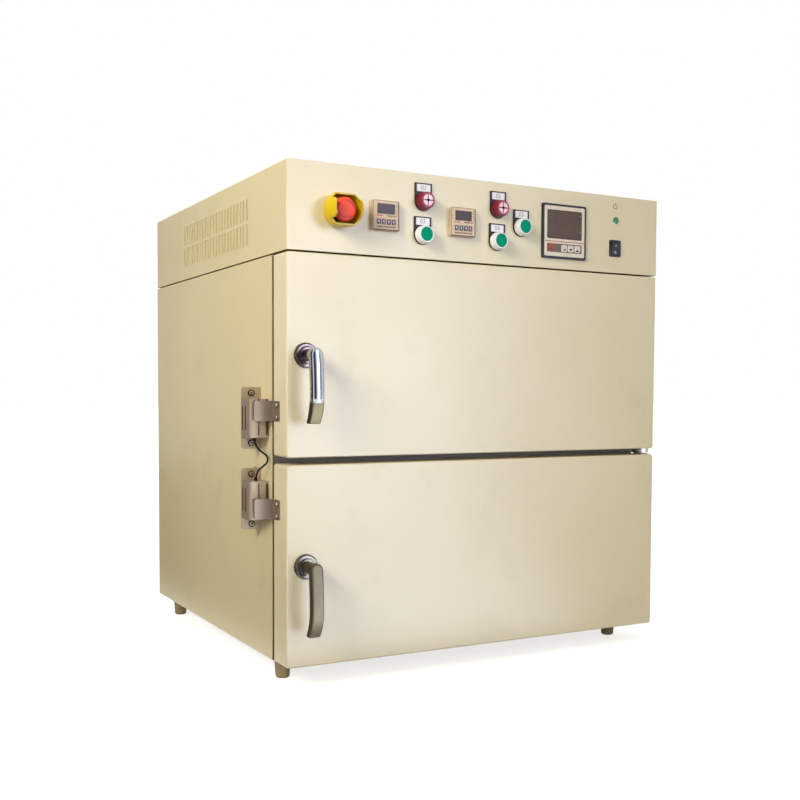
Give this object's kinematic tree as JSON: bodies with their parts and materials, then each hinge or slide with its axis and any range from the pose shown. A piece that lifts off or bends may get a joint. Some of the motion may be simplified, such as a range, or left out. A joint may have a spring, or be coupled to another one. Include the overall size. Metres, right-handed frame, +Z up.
{
  "type": "forced-air drying oven",
  "caption": "Benchtop forced-air drying oven with stacked chambers, hinged doors with lever latches, a control hood with timers, controller and emergency stop, and rear air outlets.",
  "frame": {"origin": "on the floor under the middle of the oven's outer box, locks, hinges, handles and outlets included", "axes": "+X to the right as seen from the front, +Y to the rear, +Z up; the doors face -Y"},
  "size_m": [0.818, 0.824, 0.837],
  "materials": {
    "cream_paint": "smooth baked enamel",
    "rear_paint": "smooth baked enamel",
    "stainless": "brushed",
    "lock_steel": "satin, slightly warm",
    "zinc_steel": "zinc plated",
    "chrome": "mirror",
    "satin_metal": "satin",
    "motor_metal": "cast, painted grey",
    "heater_steel": "oxidised",
    "black_plastic": "satin",
    "gland_plastic": "matt",
    "grey_plastic": "matt",
    "yellow_plastic": "gloss",
    "red_plastic": "satin",
    "green_plastic": "satin",
    "dark_red_plastic": "satin",
    "pilot_green": "clear lens",
    "timer_plastic": "satin",
    "keypad": "matt",
    "key_white": "satin",
    "key_orange": "satin",
    "rubber_foot": "matt",
    "gasket": "matt",
    "lead": "satin",
    "wool": "fibrous"
  },
  "bodies": {
    "cabinet": {"body_shell": "cream_paint", "rear_panel": "rear_paint", "front_frame": "stainless", "hood_cover": "cream_paint", "control_panel": "cream_paint", "hood_deck": "zinc_steel", "upper_chamber": "stainless", "lower_chamber": "stainless", "insulation": "wool", "air_baffles": "stainless", "shelf_rails": "stainless", "wire_shelves": "chrome", "ring_heaters": "heater_steel", "fan_motors": "motor_metal", "temperature_probes": "stainless", "feet": "rubber_foot", "air_outlets": "stainless", "cable_gland": "gland_plastic", "hinge_brackets": "zinc_steel", "lock_plates": "lock_steel", "lock_bodies": "lock_steel", "lock_lead": "lead", "lock_screws": "zinc_steel", "estop_guard": "yellow_plastic", "estop_base": "black_plastic", "timer_cases": "timer_plastic", "timer_keypads": "keypad", "controller_case": "black_plastic", "legend_plates": "black_plastic", "button_bezels": "chrome", "alarm_buzzers": "dark_red_plastic", "pilot_light": "pilot_green", "rocker_frame": "black_plastic", "control_gear": "grey_plastic"},
    "upper_door": {"upper_door_shell": "cream_paint", "upper_door_liner": "stainless", "upper_door_gasket": "gasket", "upper_handle_rose": "chrome", "upper_lock_keeper": "lock_steel", "upper_door_hinge_arms": "zinc_steel"},
    "lower_door": {"lower_door_shell": "cream_paint", "lower_door_liner": "stainless", "lower_door_gasket": "gasket", "lower_handle_rose": "satin_metal", "lower_lock_keeper": "lock_steel", "lower_door_hinge_arms": "zinc_steel"},
    "upper_handle": {"upper_handle_lever": "chrome"},
    "lower_handle": {"lower_handle_lever": "satin_metal"},
    "upper_fan": {"upper_fan_wheel": "zinc_steel"},
    "lower_fan": {"lower_fan_wheel": "zinc_steel"},
    "estop_slider": {"estop_stem": "zinc_steel"},
    "estop_knob": {"estop_head": "red_plastic"},
    "button_1": {"green_button_1": "green_plastic"},
    "button_2": {"green_button_2": "green_plastic"},
    "button_3": {"green_button_3": "green_plastic"},
    "power_rocker": {"rocker": "black_plastic"},
    "set_key": {"controller_key_set": "key_orange"},
    "left_key": {"controller_key_left": "key_white"},
    "down_key": {"controller_key_down": "key_white"},
    "up_key": {"controller_key_up": "key_white"}
  },
  "joints": [
    {"name": "upper_door_hinge", "type": "hinge", "parent": "cabinet", "child": "upper_door", "pos_m": [0.3925, -0.3025, 0.533], "axis": [0, 0, 1], "range_deg": [0, 150]},
    {"name": "upper_handle_turn", "type": "hinge", "parent": "upper_door", "child": "upper_handle", "pos_m": [-0.343, -0.36, 0.533], "axis": [0, -1, 0], "range_deg": [0, 90]},
    {"name": "upper_fan_spin", "type": "hinge", "parent": "cabinet", "child": "upper_fan", "pos_m": [0, 0.188, 0.533], "axis": [0, 1, 0], "continuous": true},
    {"name": "lower_door_hinge", "type": "hinge", "parent": "cabinet", "child": "lower_door", "pos_m": [0.3925, -0.3025, 0.1985], "axis": [0, 0, 1], "range_deg": [0, 150]},
    {"name": "lower_handle_turn", "type": "hinge", "parent": "lower_door", "child": "lower_handle", "pos_m": [-0.343, -0.36, 0.1985], "axis": [0, -1, 0], "range_deg": [0, 90]},
    {"name": "lower_fan_spin", "type": "hinge", "parent": "cabinet", "child": "lower_fan", "pos_m": [0, 0.188, 0.1985], "axis": [0, 1, 0], "continuous": true},
    {"name": "estop_press", "type": "slide", "parent": "cabinet", "child": "estop_slider", "axis": [0, 1, 0], "range_m": [0, 0.006], "stiffness_N_per_m": 1500},
    {"name": "estop_twist", "type": "hinge", "parent": "estop_slider", "child": "estop_knob", "pos_m": [-0.288, -0.36, 0.7615], "axis": [0, 1, 0], "range_deg": [0, 45], "stiffness_Nm_per_rad": 0.05},
    {"name": "button_1_press", "type": "slide", "parent": "cabinet", "child": "button_1", "axis": [0, 1, 0], "range_m": [0, 0.004], "stiffness_N_per_m": 800},
    {"name": "button_2_press", "type": "slide", "parent": "cabinet", "child": "button_2", "axis": [0, 1, 0], "range_m": [0, 0.004], "stiffness_N_per_m": 800},
    {"name": "button_3_press", "type": "slide", "parent": "cabinet", "child": "button_3", "axis": [0, 1, 0], "range_m": [0, 0.004], "stiffness_N_per_m": 800},
    {"name": "rocker_tilt", "type": "hinge", "parent": "cabinet", "child": "power_rocker", "pos_m": [0.2747, -0.36, 0.7416], "axis": [-1, 0, 0], "range_deg": [0, 20]},
    {"name": "set_key_press", "type": "slide", "parent": "cabinet", "child": "set_key", "axis": [0, 1, 0], "range_m": [0, 0.0008], "stiffness_N_per_m": 600},
    {"name": "left_key_press", "type": "slide", "parent": "cabinet", "child": "left_key", "axis": [0, 1, 0], "range_m": [0, 0.0008], "stiffness_N_per_m": 600},
    {"name": "down_key_press", "type": "slide", "parent": "cabinet", "child": "down_key", "axis": [0, 1, 0], "range_m": [0, 0.0008], "stiffness_N_per_m": 600},
    {"name": "up_key_press", "type": "slide", "parent": "cabinet", "child": "up_key", "axis": [0, 1, 0], "range_m": [0, 0.0008], "stiffness_N_per_m": 600}
  ]
}
